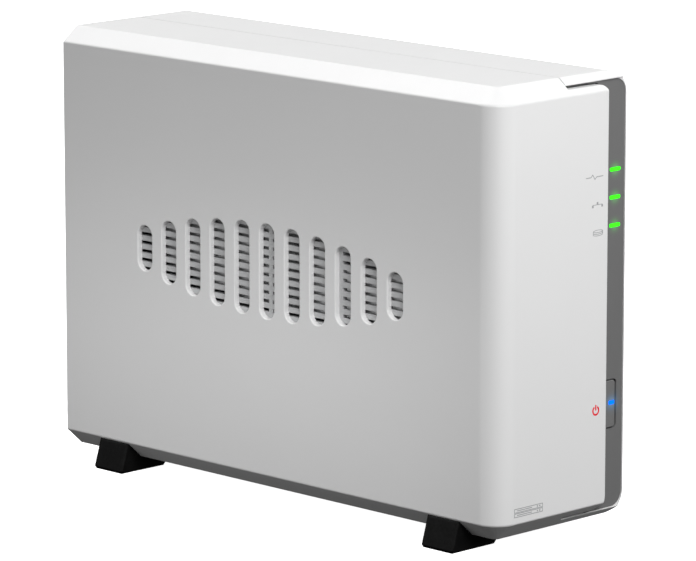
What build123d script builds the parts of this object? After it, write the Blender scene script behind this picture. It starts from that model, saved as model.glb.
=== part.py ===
from build123d import *
import os
from math import cos, hypot, radians, sin

# Single-bay network storage box: a two-part moulded case standing on four
# splayed feet, a dark indicator strip at its front right corner, one 3.5 inch
# hard disk on a steel tray, a main board, a disk riser and a 60 mm fan.
#
# Frame: millimetres, +Z up, the box faces -Y, the origin is on the resting
# plane below the middle of the case.  +X is the right side of the case.

# ---------------------------------------------------------------- the case
WIDTH = 71.0
DEPTH = 224.0
HEIGHT = 166.0
FLOOR_GAP = 5.4          # underside of the case above the resting plane
WALL = 2.2
CORNER = 9.0             # radius of the upright front left corner
ROUND = 8.5              # radius of the long edges on the right
CHAMFER = 7.1            # how far the sloped edges reach inwards
TOP_DROP = 5.6           # height of the upper sloped edge
BOTTOM_DROP = 6.35       # height of the lower sloped edge
SOFT = 1.0               # rounding where a slope meets a flat
EDGE_EASE = 0.4          # rounding of the front panel's cut edge
RIM_EASE = 0.3           # easing of the front window's edges
SHORT_EDGE = 5.0         # window edges shorter than this stay sharp
FIT = 0.4                # clearance between the removable cover and the rest
SEAM_GAP = 0.45
SEAM_X = 2.4             # where the cover meets the right shell

FRONT = -DEPTH / 2
REAR = DEPTH / 2
SIDE = WIDTH / 2
INNER_SIDE = SIDE - WALL
CEILING = HEIGHT - WALL
FLOOR = FLOOR_GAP + WALL

# ------------------------------------------------- cover panel and front strip
PANEL_RIGHT = 21.05      # right edge of the cover's front panel
PANEL_HIGH = 162.1
PANEL_LOW = 8.9
PANEL_TOP_RADIUS = 1.8
PANEL_LOW_RADIUS = 5.4
WINDOW_HIGH = 163.2      # the front window of the right shell
WINDOW_LOW = 8.0
WINDOW_RIGHT = 35.0
WINDOW_RADIUS = 5.5
WINDOW_BACK = -105.5
RIM_Y = -107.4           # front end of the right wall
STRIP_Y = -107.0         # the strip is flat and stands back from the panel
STRIP_LEFT = 15.5
STRIP_GAP = 0.1
FACE_BACK = -105.6       # rear of the bezel's front wall
TRAY_RIGHT = 20.0        # the bezel is thick only behind the panel
BEZEL_THICK = 3.9        # inner skin of the bezel's sides, measured from the case skin
BEZEL_BACK = -98.0
BEZEL_LEFT = -26.0

# --------------------------------------------------------- lights and buttons
LIGHT_X = 30.0
LIGHT_WIDTH = 5.5
LIGHT_HEIGHT = 1.35
LIGHT_HEIGHTS = {"status": 130.6, "lan": 120.55, "disk": 110.45}
LIGHT_PROUD = 0.1
LED_X = 29.2
BUTTON_X = (22.4, 31.4)
BUTTON_Z = (37.1, 54.3)
BUTTON_INSET = 0.25      # the cap stands this far back from the strip
BUTTON_GAP = 0.45
BUTTON_TRAVEL = 0.8
BUTTON_LIGHT_X = (28.1, 31.1)
BUTTON_LIGHT_Z = 46.1
SWITCH_X = 26.0
SWITCH_Z = 41.2

# ------------------------------------------------------------------ side vents
VENT_COUNT = 11
VENT_PITCH = 13.0
VENT_WIDTH = 7.6
VENT_Y = 2.8             # middle of the row
VENT_Z = 87.5
VENT_SHORT = 17.0
VENT_TALL = 35.0
LOUVRE_THICK = 2.0
LOUVRE_PITCH = 3.25
LOUVRE_SLOT = 1.3
LOUVRE_LENGTH = 146.0
LOUVRE_HEIGHT = 42.0
LOUVRE_COLUMNS = 4

# ----------------------------------------------------------------------- feet
FOOT_LENGTH = 15.4
FOOT_Y = {-1: 86.0, 1: 74.0}    # left pair and right pair, from the middle
FOOT_REACH = 38.8        # outermost point of a foot from the middle plane
FOOT_TOP = 11.2
FOOT_INNER = 15.0

# ----------------------------------------------------------------- rear panel
PANEL_Y = (108.6, 110.6)
COVER_SCREW_X = -30.4
COVER_TAB_EDGE = -28.0
COVER_SCREW_Z = (20.0, 150.0)
LOCK_X = -16.0
LOCK_Z = 34.0

# ----------------------------------------------------------------- main board
BOARD_X = (27.5, 29.1)
BOARD_Y = (-78.0, 108.3)
BOARD_Z = (18.0, 92.0)
BOARD_SCREWS = [(-60.0, 24.0), (86.0, 24.0), (-60.0, 62.0), (86.0, 62.0)]
PORT_END = 110.9         # the ports stand just proud of the rear panel
INLET_Z = (20.0, 29.4)
USB_Z = (33.0, 49.2)     # lower ends of the two ports
USB_TALL = 13.2
RESET_X = 22.5
RESET_Z = 67.6
RESET_TRAVEL = 0.8
LAN_X = (14.0, 27.5)
LAN_Z = (73.0, 89.0)

# ----------------------------------------------------------- disk and its tray
TRAY_X = (0.0, 1.0)
TRAY_Y = (-70.0, 86.0)
TRAY_Z = (10.2, 141.0)
TRAY_POSTS = [(-58.0, 14.2), (74.0, 14.2), (-58.0, 137.0), (74.0, 137.0)]
DISK_X = (-24.9, 0.0)    # the casting; the lid lies on its left face
LID_X = -25.7            # outer face of the lid
DISK_Y = (-66.0, 81.0)
DISK_Z = (30.0, 131.6)
DISK_SCREWS = [(-24.7, 33.2), (19.7, 33.2), (-24.7, 128.4), (19.7, 128.4)]
BAY_DEPTH_X = -6.0       # floor of the disk's clean chamber
SPINDLE = (28.0, 80.8)   # y and z
PLATTER_RADIUS = 47.5
PLATTER_THICK = 1.3
PLATTER_X = (-19.3, -13.2)
HUB_RADIUS = 12.3
CLAMP_RADIUS = 15.0
PIVOT = (-22.0, 57.0)    # y and z
PIVOT_RADIUS = 3.9
ARM_LENGTH = 47.0
ARM_REST = -20.0         # degrees above the +Y direction
ARM_LAYERS = [(-21.8, -20.6), (-16.4, -14.8), (-10.9, -9.6)]
COIL_X = (-17.0, -14.2)
COIL_HALF_ANGLE = 12.0
MAGNET_LAYERS = [(-21.5, -18.2), (-12.9, -9.6)]
MAGNET_ANGLES = (136.0, 210.0)

# -------------------------------------------------------------- riser and cable
RISER_Y = (-76.0, -74.4)
RISER_Z = (40.0, 80.0)
FRONT_BOARD_Y = (-100.6, -99.0)
RIBBON_Z = (24.0, 34.0)

# ------------------------------------------------------------------------ fan
FAN_SIZE = 60.0
FAN_THICK = 15.0
FAN_X = 2.5              # off centre, to clear the cover's tabs
FAN_Z = 127.0
FAN_BORE = 28.6
FAN_HOLE = 25.0          # screw holes, from the middle of the fan
FAN_HUB = 11.6
FAN_BLADES = 7
BLADE_REACH = 27.8


# ============================================================ shape helpers
def block(x0, x1, y0, y1, z0, z1):
    """A box between two opposite corners."""
    middle = Pos((x0 + x1) / 2, (y0 + y1) / 2, (z0 + z1) / 2)
    return middle * Box(x1 - x0, y1 - y0, z1 - z0)


def rod_x(x0, x1, y, z, radius):
    """A round bar along X."""
    return Pos((x0 + x1) / 2, y, z) * Rot(0, 90, 0) * Cylinder(radius, x1 - x0)


def rod_y(y0, y1, x, z, radius):
    """A round bar along Y."""
    return Pos(x, (y0 + y1) / 2, z) * Rot(90, 0, 0) * Cylinder(radius, y1 - y0)


def seen_from_front(sketch, y0, y1):
    """Extrude a front-view outline, drawn in X and Z, from y0 to y1."""
    return extrude(Plane.XZ.offset(-y1) * sketch, y1 - y0)


def seen_from_side(sketch, x0, x1):
    """Extrude a side-view outline, drawn in Y and Z, from x0 to x1."""
    return extrude(Plane.YZ.offset(x0) * sketch, x1 - x0)


def rounded(x0, x1, z0, z1, radius):
    """A rounded rectangle between two corners."""
    return Pos((x0 + x1) / 2, (z0 + z1) / 2) * RectangleRounded(x1 - x0, z1 - z0, radius)


def group(solids):
    """Several loose pieces that make one node."""
    return Compound(children=list(solids))


def slope_reach(inset, drop):
    """Inward and downward reach of a sloped edge on a skin set in by inset."""
    length = hypot(CHAMFER, drop)
    inward = CHAMFER - inset * (CHAMFER + drop - length) / drop
    downward = drop - inset * (CHAMFER + drop - length) / CHAMFER
    return inward, downward


def is_sloped_edge(edge, half):
    """True for the front and left edges of a flat, not for the rear or the right."""
    return edge.center().Y < REAR - 0.01 and edge.center().X < half - 0.01


def case_body(inset, soften=0.0):
    """The solid envelope of the case, its skin set in by inset everywhere but the rear."""
    half = SIDE - inset
    front = FRONT + inset
    low, high = FLOOR_GAP + inset, HEIGHT - inset
    plan = Pos(0, (front + REAR) / 2) * Rectangle(2 * half, REAR - front)
    plan = fillet(plan.vertices().group_by(Axis.Y)[0].sort_by(Axis.X)[0], CORNER - inset)
    body = Pos(0, 0, low) * extrude(plan, high - low)
    for end, drop in ((-1, TOP_DROP), (0, BOTTOM_DROP)):
        face = body.faces().sort_by(Axis.Z)[end]
        edges = [edge for edge in face.edges() if is_sloped_edge(edge, half)]
        inward, downward = slope_reach(inset, drop)
        body = chamfer(edges, length=inward, length2=downward, reference=face)
    if soften:
        level = [
            edge
            for edge in body.edges()
            if is_sloped_edge(edge, half) and edge.bounding_box().size.Z < 0.01
        ]
        body = fillet(level, soften)
    outline = rounded(-2 * SIDE, half, low, high, ROUND - inset)
    return body & seen_from_front(outline, FRONT - 5, REAR + 5)


OUTER = case_body(0, SOFT)
INNER = case_body(WALL)
CLEAR = case_body(WALL + FIT)
SHELL = OUTER - INNER
SKIN = OUTER.shells()[0]


def cut_edges(body, is_cut):
    """The edges that a cut left on the outer skin; is_cut tells if a point is on the cut."""
    edges = []
    for edge in body.edges():
        points = [edge.position_at(share) for share in (0.15, 0.5, 0.85)]
        if all(is_cut(point) and SKIN.distance_to(Vertex(*point)) < 0.005 for point in points):
            edges.append(edge)
    return edges


# ============================================================ case parts
def cover_panel(grow=0.0):
    """Front-view outline of the cover's front panel."""
    left = -SIDE - 5
    high = PANEL_HIGH + grow
    low = PANEL_LOW - grow
    right = PANEL_RIGHT + grow
    outline = Pos((left + right) / 2, (low + high) / 2) * Rectangle(right - left, high - low)
    corners = outline.vertices().group_by(Axis.X)[-1].sort_by(Axis.Y)
    outline = fillet(corners[-1], PANEL_TOP_RADIUS + grow)
    corners = outline.vertices().filter_by(lambda v: v.X > right - 0.01).sort_by(Axis.Y)
    return fillet(corners[0], PANEL_LOW_RADIUS + grow)


def on_panel_edge(point):
    """True for a point on the free edge of the cover's front panel."""
    if point.Y > FRONT + CORNER + 3 or point.X < SEAM_X + 0.5:
        return False
    distances = [point.X - PANEL_RIGHT, point.Z - PANEL_HIGH, point.Z - PANEL_LOW]
    for level, radius in (
        (PANEL_HIGH - PANEL_TOP_RADIUS, PANEL_TOP_RADIUS),
        (PANEL_LOW + PANEL_LOW_RADIUS, PANEL_LOW_RADIUS),
    ):
        distances.append(hypot(point.X - PANEL_RIGHT + radius, point.Z - level) - radius)
    return min(abs(distance) for distance in distances) < 0.01


def window_outline(shrink=0.0, left=SEAM_X - 1):
    """Front-view outline of the right shell's front window, round on its right."""
    right = WINDOW_RIGHT - shrink
    low = WINDOW_LOW + shrink
    high = WINDOW_HIGH - shrink
    outline = Pos((left + right) / 2, (low + high) / 2) * Rectangle(right - left, high - low)
    return fillet(outline.vertices().group_by(Axis.X)[-1], WINDOW_RADIUS - shrink)


def on_window_lip(point):
    """True for a point on the lower edge of the right shell's front window."""
    return point.Y < RIM_Y - 0.01 and abs(point.Z - WINDOW_LOW) < 0.01


def on_window_rim(point):
    """True for a point on the upper or the right edge of the right shell's front window."""
    if point.Y > WINDOW_BACK - 0.01:
        return False
    return abs(point.Z - WINDOW_HIGH) < 0.01 or abs(point.Y - RIM_Y) < 0.01


def vent_outline():
    """A row of upright capsules, tallest in the middle."""
    middle = (VENT_COUNT - 1) / 2
    capsules = []
    for index in range(VENT_COUNT):
        offset = index - middle
        share = 1 - (offset / middle) ** 2
        tall = VENT_SHORT + (VENT_TALL - VENT_SHORT) * share
        place = Pos(VENT_Y + VENT_PITCH * offset, VENT_Z)
        capsules.append(place * Rot(0, 0, 90) * SlotOverall(tall, VENT_WIDTH))
    return capsules


def cut_vents(wall, side):
    """Cut the vent row through one side wall and ease its outer edges."""
    x0, x1 = sorted((side * (SIDE + 1), side * (INNER_SIDE - 0.5)))
    for capsule in vent_outline():
        wall -= seen_from_side(capsule, x0, x1)
    rims = [
        edge
        for edge in wall.edges()
        if abs(edge.center().X - side * SIDE) < 0.01
        and abs(edge.center().Z - VENT_Z) < VENT_TALL / 2 + 1
        and abs(edge.center().Y - VENT_Y) < VENT_PITCH * VENT_COUNT / 2
    ]
    return fillet(rims, 0.45)


def vent_louvre(side):
    """A slatted insert that lies against the inside of a vented wall."""
    x0, x1 = sorted((side * INNER_SIDE, side * (INNER_SIDE - LOUVRE_THICK)))
    y0 = VENT_Y - LOUVRE_LENGTH / 2
    y1 = VENT_Y + LOUVRE_LENGTH / 2
    plate = block(x0, x1, y0, y1, VENT_Z - LOUVRE_HEIGHT / 2, VENT_Z + LOUVRE_HEIGHT / 2)
    column = (LOUVRE_LENGTH - 2.0) / LOUVRE_COLUMNS
    rows = int((LOUVRE_HEIGHT - 2.0) / LOUVRE_PITCH)
    slots = []
    for row in range(rows):
        z = VENT_Z + (row - (rows - 1) / 2) * LOUVRE_PITCH
        for place in range(LOUVRE_COLUMNS):
            start = y0 + 1.0 + place * column + 1.0
            low = z - LOUVRE_SLOT / 2
            slots.append(block(x0 - 1, x1 + 1, start, start + column - 2.0, low, low + LOUVRE_SLOT))
    return plate - slots


def make_left_cover():
    """Left wall, left half of the top and bottom, and the front panel."""
    left_half = block(-SIDE - 5, SEAM_X - SEAM_GAP / 2, FRONT - 5, REAR + 5, 0, HEIGHT + 5)
    panel = seen_from_front(cover_panel(), FRONT - 5, FRONT + 9)
    cover = SHELL & (left_half + panel)
    cover = fillet(cut_edges(cover, on_panel_edge), EDGE_EASE)
    cover = cut_vents(cover, -1)
    for z in COVER_SCREW_Z:
        tab = block(-INNER_SIDE - 0.5, COVER_TAB_EDGE, PANEL_Y[0] - 2.2, PANEL_Y[0] - FIT, z - 5, z + 5)
        tab -= rod_y(PANEL_Y[0] - 3, PANEL_Y[0], COVER_SCREW_X, z, 1.9)
        cover += tab
    return cover


def seam_tongue(level, step):
    """A ledge that runs under a seam; level is the case skin's inner face, step points inwards."""
    near = level + step * FIT
    far = level + step * (FIT + 1.2)
    back = PANEL_Y[0] - 0.1
    ledge = block(SEAM_X - 6, SEAM_X + 2, BEZEL_BACK + 0.5, back, *sorted((near, far)))
    root = block(SEAM_X + 0.4, SEAM_X + 4, BEZEL_BACK + 0.5, back, *sorted((level, far)))
    return ledge + root


def make_right_shell():
    """Right wall, right half of the top and bottom, seam ledges, posts and bosses."""
    right_half = block(SEAM_X + SEAM_GAP / 2, SIDE + 5, FRONT - 5, REAR + 5, 0, HEIGHT + 5)
    window = seen_from_front(window_outline(), FRONT - 5, WINDOW_BACK)
    window += block(WINDOW_RIGHT - 6, SIDE + 5, FRONT - 5, RIM_Y, WINDOW_LOW, WINDOW_HIGH)
    shell = (SHELL & right_half) - window
    rim = [edge for edge in cut_edges(shell, on_window_rim) if edge.length > SHORT_EDGE]
    shell = fillet(rim, RIM_EASE)
    lip = [edge for edge in cut_edges(shell, on_window_lip) if edge.length > SHORT_EDGE]
    shell = chamfer(lip, RIM_EASE)
    shell = cut_vents(shell, 1)
    shell += seam_tongue(CEILING, -1) + seam_tongue(FLOOR, 1)
    for y, z in TRAY_POSTS:
        shell += rod_x(TRAY_X[1], INNER_SIDE + 0.5, y, z, 3.2)
        shell -= rod_x(TRAY_X[1] - 1, TRAY_X[1] + 9, y, z, 1.3)
    for y, z in BOARD_SCREWS:
        shell += rod_x(BOARD_X[1], INNER_SIDE + 0.5, y, z, 2.8)
        shell -= rod_x(BOARD_X[1] - 1, INNER_SIDE - 0.6, y, z, 1.1)
    return shell


def light_outline(z, grow=0.0):
    """Front-view outline of one light window."""
    half = LIGHT_WIDTH / 2 + grow
    tall = LIGHT_HEIGHT / 2 + grow
    return rounded(LIGHT_X - half, LIGHT_X + half, z - tall, z + tall, 0.5 + grow)


def button_outline(grow=0.0):
    """Front-view outline of the power button, rounder on its right side."""
    x0 = BUTTON_X[0] - grow
    x1 = BUTTON_X[1] + grow
    z0 = BUTTON_Z[0] - grow
    z1 = BUTTON_Z[1] + grow
    outline = Pos((x0 + x1) / 2, (z0 + z1) / 2) * Rectangle(x1 - x0, z1 - z0)
    outline = fillet(outline.vertices().group_by(Axis.X)[-1], 1.3 + grow)
    return fillet(outline.vertices().group_by(Axis.X)[0], 0.4)


def make_front_bezel():
    """The dark strip, and the tray behind the cover's panel that carries the front board."""
    core = case_body(BEZEL_THICK) & block(-SIDE, SIDE, FACE_BACK, REAR, 0, HEIGHT)
    slab = block(BEZEL_LEFT, SIDE, FRONT, BEZEL_BACK, 0, HEIGHT)
    left_part = block(BEZEL_LEFT, SEAM_X + 2, FRONT, BEZEL_BACK, 0, HEIGHT)
    under_cover = (CLEAR - core) & slab
    # Behind the cover's panel the tray keeps clear; elsewhere it touches the shell.
    touching = (INNER - core) & slab
    touching -= left_part
    touching -= seen_from_front(cover_panel(FIT), FRONT - 5, FRONT + 9)
    tray = under_cover + touching
    tray -= block(TRAY_RIGHT, SIDE + 1, FRONT - 1, STRIP_Y, 0, HEIGHT)
    strip = seen_from_front(window_outline(STRIP_GAP, STRIP_LEFT), STRIP_Y, FACE_BACK)
    strip -= (OUTER - CLEAR) & seen_from_front(cover_panel(SEAM_GAP), FRONT - 5, REAR)
    bezel = tray + strip
    for z in LIGHT_HEIGHTS.values():
        bezel -= seen_from_front(light_outline(z, 0.03), FRONT - 5, FRONT_BOARD_Y[0])
    bezel -= seen_from_front(button_outline(BUTTON_GAP), FRONT - 5, FRONT_BOARD_Y[0])
    for z in (34.0, 136.0):
        bezel += rod_y(FACE_BACK - 0.3, FRONT_BOARD_Y[0], 15.0, z, 2.5)
        bezel -= rod_y(FRONT_BOARD_Y[0] - 4, FRONT_BOARD_Y[0] + 1, 15.0, z, 0.9)
    return bezel


def make_light_pipe(z):
    """A clear bar from the strip's skin back to its light."""
    return seen_from_front(light_outline(z), STRIP_Y - LIGHT_PROUD, FRONT_BOARD_Y[0] - 1.1)


def make_power_button():
    """Cap, retaining flange and the stub that presses the switch."""
    front = STRIP_Y + BUTTON_INSET
    back = FACE_BACK + BUTTON_GAP
    cap = seen_from_front(button_outline(), front, back)
    cap = fillet(cap.faces().sort_by(Axis.Y)[0].edges(), 0.3)
    flange = block(20.6, 31.3, back, back + 1.0, BUTTON_Z[0] - 1.2, BUTTON_Z[1] + 1.2)
    stub = rod_y(back + 1.0, back + 1.5, SWITCH_X, SWITCH_Z, 1.4)
    x0, x1 = BUTTON_LIGHT_X
    light = rounded(x0, x1, BUTTON_LIGHT_Z - 0.75, BUTTON_LIGHT_Z + 0.75, 0.3)
    return cap + flange + stub - seen_from_front(light, front - 1, back + 2)


def make_power_light_lens():
    """The small window in the power button."""
    x0, x1 = BUTTON_LIGHT_X
    light = rounded(x0 + 0.02, x1 - 0.02, BUTTON_LIGHT_Z - 0.73, BUTTON_LIGHT_Z + 0.73, 0.28)
    front = STRIP_Y + BUTTON_INSET - 0.05
    return seen_from_front(light, front, FACE_BACK + BUTTON_GAP + 1.0)


def make_foot(side, end):
    """A splayed foot that wraps the lower sloped edge of the case."""
    section = Polyline(
        (side * SIDE, FOOT_TOP),
        (side * (SIDE + 0.35), FOOT_TOP - 0.5),
        (side * FOOT_REACH, 1.1),
        (side * (FOOT_REACH - 0.9), 0),
        (side * (FOOT_INNER + 1.5), 0),
        (side * FOOT_INNER, 1.5),
        (side * FOOT_INNER, FLOOR_GAP + 1),
        (side * (SIDE - 1), FOOT_TOP),
        close=True,
    )
    y = end * FOOT_Y[side]
    foot = seen_from_front(make_face(section), y - FOOT_LENGTH / 2, y + FOOT_LENGTH / 2)
    ends = [edge for edge in foot.edges() if abs(edge.center().Y - y) > FOOT_LENGTH / 2 - 0.1]
    eased = [edge for edge in ends if edge.center().Z < FLOOR_GAP - 1]
    eased += [edge for edge in ends if edge not in eased and abs(edge.center().X) > SIDE + 0.5]
    foot = chamfer(eased, 0.7)
    return foot - OUTER


# ============================================================ rear parts
def make_rear_panel():
    """Recessed rear plate with the fan grille and the port openings."""
    slab = block(-SIDE, SIDE, PANEL_Y[0], PANEL_Y[1], 0, HEIGHT)
    touching = (INNER & slab) & block(SEAM_X + 2, SIDE, 0, REAR, 0, HEIGHT)
    panel = (CLEAR & slab) + touching
    spokes = Rot(0, 45, 0) * (block(-40, 40, 0, REAR, -1.3, 1.3) + block(-1.3, 1.3, 0, REAR, -40, 40))
    spokes = Pos(FAN_X, 0, FAN_Z) * spokes
    for inner, outer in ((8.0, 11.0), (12.8, 15.8), (17.6, 20.6), (22.4, 25.4), (27.0, 28.6)):
        ring = rod_y(PANEL_Y[0] - 1, PANEL_Y[1] + 1, FAN_X, FAN_Z, outer)
        ring -= rod_y(PANEL_Y[0] - 1, PANEL_Y[1] + 1, FAN_X, FAN_Z, inner)
        panel -= ring - spokes
    for x, z in fan_corners():
        panel -= rod_y(PANEL_Y[0] - 1, PANEL_Y[1] + 1, x, z, 2.1)
    for z in COVER_SCREW_Z:
        panel -= rod_y(PANEL_Y[0] - 1, PANEL_Y[1] + 1, COVER_SCREW_X, z, 1.5)
    openings = [
        (LAN_X[0] - 0.2, LAN_X[1] + 0.2, LAN_Z[0] - 0.2, LAN_Z[1] + 0.2),
        (16.3, BOARD_X[0] + 0.2, INLET_Z[0] - 0.2, INLET_Z[1] + 0.2),
        (LOCK_X - 1.6, LOCK_X + 1.6, LOCK_Z - 3.7, LOCK_Z + 3.7),
    ]
    for low in USB_Z:
        openings.append((20.6, BOARD_X[0] + 0.2, low - 0.2, low + USB_TALL + 0.2))
    for x0, x1, z0, z1 in openings:
        panel -= block(x0, x1, PANEL_Y[0] - 1, PANEL_Y[1] + 1, z0, z1)
    return panel - rod_y(PANEL_Y[0] - 1, PANEL_Y[1] + 1, RESET_X, RESET_Z, 1.7)


def make_cover_screws():
    """Two screws that hold the cover's rear tabs."""
    screws = []
    for z in COVER_SCREW_Z:
        head = rod_y(PANEL_Y[1], REAR, COVER_SCREW_X, z, 2.4)
        recess = Pos(COVER_SCREW_X, REAR, z) * (Box(3.0, 1.2, 0.8) + Box(0.8, 1.2, 3.0))
        screws.append(head + rod_y(104.0, PANEL_Y[1], COVER_SCREW_X, z, 1.45) - recess)
    return group(screws)


def make_lock_plate():
    """Steel plate behind the security lock slot."""
    back, front = PANEL_Y[0] - 1.4, PANEL_Y[0]
    plate = block(LOCK_X - 7, LOCK_X + 7, back, front, LOCK_Z - 8, LOCK_Z + 8)
    return plate - block(LOCK_X - 1.5, LOCK_X + 1.5, back, front, LOCK_Z - 3.5, LOCK_Z + 3.5)


def make_reset_button():
    """A small plunger pressed from behind the case."""
    plunger = rod_y(106.0, PORT_END, RESET_X, RESET_Z, 1.3)
    return plunger + rod_y(105.2, 106.2, RESET_X, RESET_Z, 2.6)


def make_reset_switch():
    """A side-pushed switch on the main board, behind the reset button."""
    stop = 105.2 - RESET_TRAVEL - 0.35
    body = block(20.0, BOARD_X[0], stop - 5.0, stop - 1.0, RESET_Z - 3, RESET_Z + 3)
    return body + rod_y(stop - 1.2, stop, RESET_X, RESET_Z, 1.2)


# ============================================================ fan
def fan_corners():
    """The x and z of the four screw holes."""
    return [(FAN_X + x * FAN_HOLE, FAN_Z + z * FAN_HOLE) for x in (-1, 1) for z in (-1, 1)]


FAN_Y = (PANEL_Y[0] - FAN_THICK, PANEL_Y[0])


def make_fan_frame():
    """Square frame with four struts that hold the motor base."""
    half = FAN_SIZE / 2
    frame = seen_from_front(rounded(FAN_X - half, FAN_X + half, FAN_Z - half, FAN_Z + half, 3.0), *FAN_Y)
    frame -= rod_y(FAN_Y[0] - 1, FAN_Y[1] + 1, FAN_X, FAN_Z, FAN_BORE)
    struts = block(-FAN_BORE - 0.5, FAN_BORE + 0.5, FAN_Y[1] - 1.6, FAN_Y[1], -1.2, 1.2)
    struts += block(-1.2, 1.2, FAN_Y[1] - 1.6, FAN_Y[1], -FAN_BORE - 0.5, FAN_BORE + 0.5)
    frame += Pos(FAN_X, 0, FAN_Z) * struts
    frame += rod_y(FAN_Y[1] - 1.6, FAN_Y[1], FAN_X, FAN_Z, FAN_HUB)
    for x, z in fan_corners():
        frame -= rod_y(FAN_Y[0] - 1, FAN_Y[1] + 1, x, z, 2.1)
    # The middle of the frame's rim is thinner than its two flanges.
    for x, z in ((0, 1), (0, -1), (1, 0), (-1, 0)):
        groove = Pos(FAN_X + x * half, (FAN_Y[0] + FAN_Y[1]) / 2, FAN_Z + z * half)
        long = 30.0
        frame -= groove * Box(long if z else 1.2, FAN_THICK - 6, long if x else 1.2)
    return frame


def make_fan_stator():
    """Four wound poles on a bearing tube, inside the rotor's cup."""
    tube = rod_y(FAN_Y[0] + 3.4, FAN_Y[1] - 1.6, FAN_X, FAN_Z, 3.4)
    poles = block(-8.6, 8.6, FAN_Y[0] + 4.5, FAN_Y[1] - 4.0, -2.2, 2.2)
    poles += block(-2.2, 2.2, FAN_Y[0] + 4.5, FAN_Y[1] - 4.0, -8.6, 8.6)
    return tube + Pos(FAN_X, 0, FAN_Z) * poles


def make_fan_rotor():
    """Cup with seven pitched blades."""
    cup = rod_y(FAN_Y[0] + 0.8, FAN_Y[1] - 2.2, FAN_X, FAN_Z, FAN_HUB)
    cup -= rod_y(FAN_Y[0] + 2.4, FAN_Y[1], FAN_X, FAN_Z, FAN_HUB - 1.6)
    middle = (FAN_Y[0] + FAN_Y[1]) / 2 - 0.6
    swept = rod_y(FAN_Y[0] + 1.2, FAN_Y[1] - 2.6, FAN_X, FAN_Z, BLADE_REACH)
    swept -= rod_y(FAN_Y[0], FAN_Y[1], FAN_X, FAN_Z, FAN_HUB - 0.6)
    for index in range(FAN_BLADES):
        turn = Pos(FAN_X, middle, FAN_Z) * Rot(0, index * 360 / FAN_BLADES, 0)
        blade = turn * Pos(19.5, 0, 0) * Rot(38, 0, 0) * Box(19.0, 1.3, 15.0)
        cup += blade & swept
    return cup


def make_fan_screws():
    screws = []
    for x, z in fan_corners():
        head = rod_y(PANEL_Y[1], REAR, x, z, 3.2)
        recess = Pos(x, REAR, z) * (Box(3.4, 1.2, 0.9) + Box(0.9, 1.2, 3.4))
        screws.append(head + rod_y(100.0, PANEL_Y[1], x, z, 1.9) - recess)
    return group(screws)


def make_fan_header():
    """The lead's plug on its header, near the top of the main board."""
    return block(21.0, BOARD_X[0], 71.0, 81.0, 78.0, 84.0)


def make_fan_lead():
    """Sleeved lead from the fan frame down to its plug."""
    route = FilletPolyline(
        (24.0, FAN_Y[0], 101.0),
        (24.0, 82.0, 101.0),
        (24.0, 76.0, 92.0),
        (24.0, 76.0, 84.0),
        radius=3.2,
    )
    return sweep(Plane(route @ 0, z_dir=route % 0) * Circle(1.2), path=route)


# ============================================================ main board
def make_main_board():
    board = block(*BOARD_X, *BOARD_Y, *BOARD_Z)
    for y, z in BOARD_SCREWS:
        board -= rod_x(BOARD_X[0] - 1, BOARD_X[1] + 1, y, z, 1.6)
    return board


def make_board_screws():
    screws = []
    for y, z in BOARD_SCREWS:
        head = rod_x(BOARD_X[0] - 1.8, BOARD_X[0], y, z, 2.6)
        recess = Pos(BOARD_X[0] - 1.8, y, z) * (Box(1.2, 2.8, 0.7) + Box(1.2, 0.7, 2.8))
        screws.append(head + rod_x(BOARD_X[0], BOARD_X[1] + 3.2, y, z, 1.05) - recess)
    return group(screws)


def make_processor():
    return block(BOARD_X[0] - 1.6, BOARD_X[0], 1.5, 18.5, 41.5, 58.5)


def make_processor_heatsink():
    """Finned block on the processor."""
    base = BOARD_X[0] - 1.6
    sink = block(base - 9.0, base, -7.0, 27.0, 33.0, 67.0)
    channels = []
    for index in range(8):
        z = 35.0 + index * 4.0
        channels.append(block(base - 10.0, base - 2.0, -8.0, 28.0, z, z + 2.4))
    return sink - channels


def make_memory_chips():
    chips = [block(BOARD_X[0] - 1.1, BOARD_X[0], 38.0, 49.0, z, z + 8.0) for z in (36.0, 50.0)]
    chips.append(block(BOARD_X[0] - 1.1, BOARD_X[0], 56.0, 68.0, 44.0, 62.0))
    chips.append(block(BOARD_X[0] - 1.3, BOARD_X[0], -30.0, -20.0, 58.0, 68.0))
    return group(chips)


def make_board_capacitors():
    """Upright electrolytic capacitors in a row near the inlet."""
    return group(rod_x(BOARD_X[0] - 9.0, BOARD_X[0], 34.0 + 9.0 * index, 24.5, 3.1) for index in range(5))


def make_clock_battery():
    """Coin cell in its round holder."""
    holder = rod_x(BOARD_X[0] - 4.6, BOARD_X[0], -36.0, 38.0, 11.5)
    holder -= rod_x(BOARD_X[0] - 5.0, BOARD_X[0] - 3.6, -36.0, 38.0, 10.2)
    cell = rod_x(BOARD_X[0] - 5.4, BOARD_X[0] - 3.6, -36.0, 38.0, 10.0)
    return group([holder, cell])


def make_lan_jack():
    """Shielded network socket, open to the rear."""
    jack = block(*LAN_X, 89.6, PORT_END, *LAN_Z)
    middle = (LAN_Z[0] + LAN_Z[1]) / 2
    jack -= block(16.0, 24.6, 97.0, PORT_END + 1, middle - 5.9, middle + 5.9)
    jack -= block(24.0, 26.2, 99.0, PORT_END + 1, middle - 3.0, middle + 3.0)
    return jack


def make_lan_contacts():
    """Eight spring contacts in the network socket."""
    middle = (LAN_Z[0] + LAN_Z[1]) / 2
    wires = []
    for index in range(8):
        z = middle + (index - 3.5) * 1.27
        wires.append(block(16.0, 16.5, 97.0, 107.0, z - 0.25, z + 0.25))
    return group(wires)


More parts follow.
